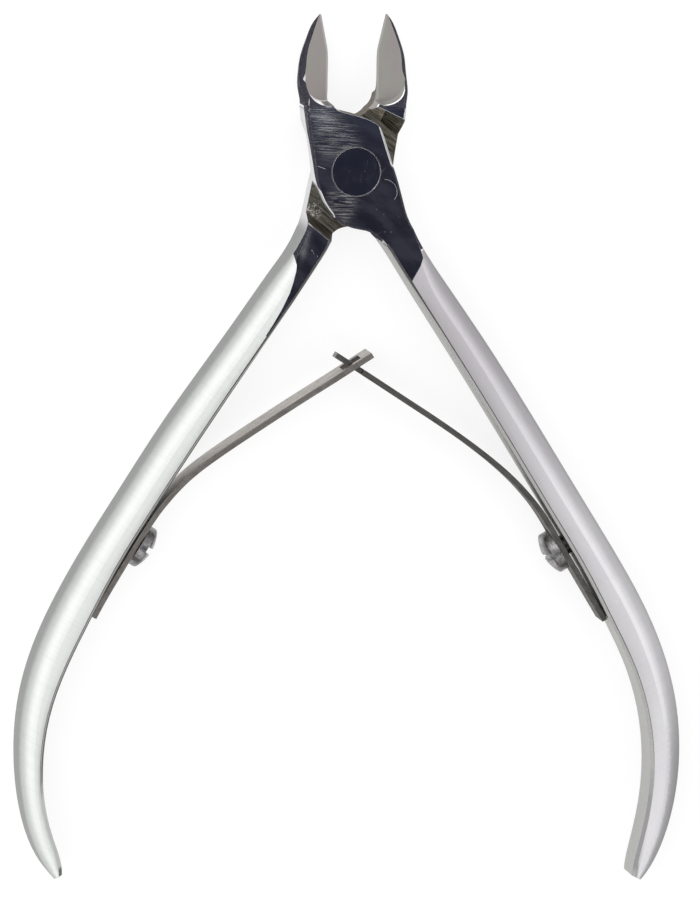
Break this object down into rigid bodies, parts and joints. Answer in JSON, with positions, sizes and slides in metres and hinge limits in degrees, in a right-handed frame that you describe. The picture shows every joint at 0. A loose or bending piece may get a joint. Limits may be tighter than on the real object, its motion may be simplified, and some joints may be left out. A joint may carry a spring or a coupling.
{
  "type": "cuticle nipper",
  "caption": "Small lap-jointed hand nipper with pointed side-cutting jaws, bowed handles and crossed interlocking leaf springs that hold it open.",
  "frame": {"origin": "on the pivot axis, in the flat back face of the lap joint", "axes": "+Y towards the jaw tips, +Z out of the front face of the joint, +X towards the handle of the front lever; the rest pose is fully open"},
  "size_m": [0.081, 0.1051, 0.0076],
  "materials": {
    "polished_steel": "mirror polished forging, fine brushed lines, ground facets at the jaws",
    "pin_steel": "polished flush with the joint",
    "spring_steel": "dull rolled strip with bright sheared edges",
    "nickel_screw": "nickel plated, turned dome"
  },
  "bodies": {
    "back": {"back_lever": "polished_steel", "pivot_pin": "pin_steel", "left_spring_screw": "nickel_screw"},
    "front": {"front_lever": "polished_steel", "right_spring_screw": "nickel_screw"},
    "left_leaf": {"left_leaf_spring": "spring_steel"},
    "right_leaf": {"right_leaf_spring": "spring_steel"}
  },
  "joints": [
    {"name": "jaw_pivot", "type": "hinge", "parent": "back", "child": "front", "pos_m": [0, 0, 0.0035], "axis": [0, 0, -1], "range_deg": [0, 23.5], "stiffness_Nm_per_rad": 0.8, "springref_deg": -6.88},
    {"name": "left_leaf_flex", "type": "hinge", "parent": "back", "child": "left_leaf", "pos_m": [-0.0259, -0.0449, 0.0035], "axis": [0, 0, 1], "range_deg": [0, 9.8], "deforming": ["left_leaf_spring"]},
    {"name": "right_leaf_flex", "type": "hinge", "parent": "front", "child": "right_leaf", "pos_m": [0.02615, -0.0461, 0.0035], "axis": [0, 0, -1], "range_deg": [0, 9.8], "deforming": ["right_leaf_spring"]}
  ],
  "couplings": [
    {"joint": "left_leaf_flex", "follows": "jaw_pivot", "ratio": 0.415},
    {"joint": "right_leaf_flex", "follows": "jaw_pivot", "ratio": 0.415}
  ]
}
